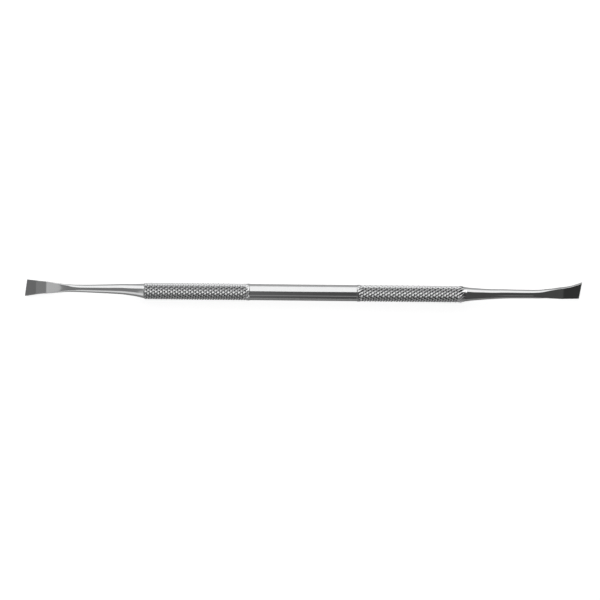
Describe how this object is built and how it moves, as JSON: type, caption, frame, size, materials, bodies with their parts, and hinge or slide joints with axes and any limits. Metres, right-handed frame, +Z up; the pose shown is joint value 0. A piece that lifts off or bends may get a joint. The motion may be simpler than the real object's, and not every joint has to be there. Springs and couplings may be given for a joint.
{
  "type": "dental scaler",
  "caption": "Double-ended dental scaler: a slim knurled steel bar with a plain middle band and a bent, fan-shaped chisel blade at each end.",
  "frame": {"origin": "on the table under the middle of the bounding box, with the scaler lying on its blades", "axes": "+X along the bar towards the end whose bevel faces up, +Z up, away from the table the blades rest on"},
  "size_m": [0.1724, 0.0068, 0.0064],
  "materials": {
    "polished_steel": "polished stainless steel, with a knurled grip either side of a plain band"
  },
  "bodies": {
    "root": {"scaler": "polished_steel"}
  },
  "joints": []
}
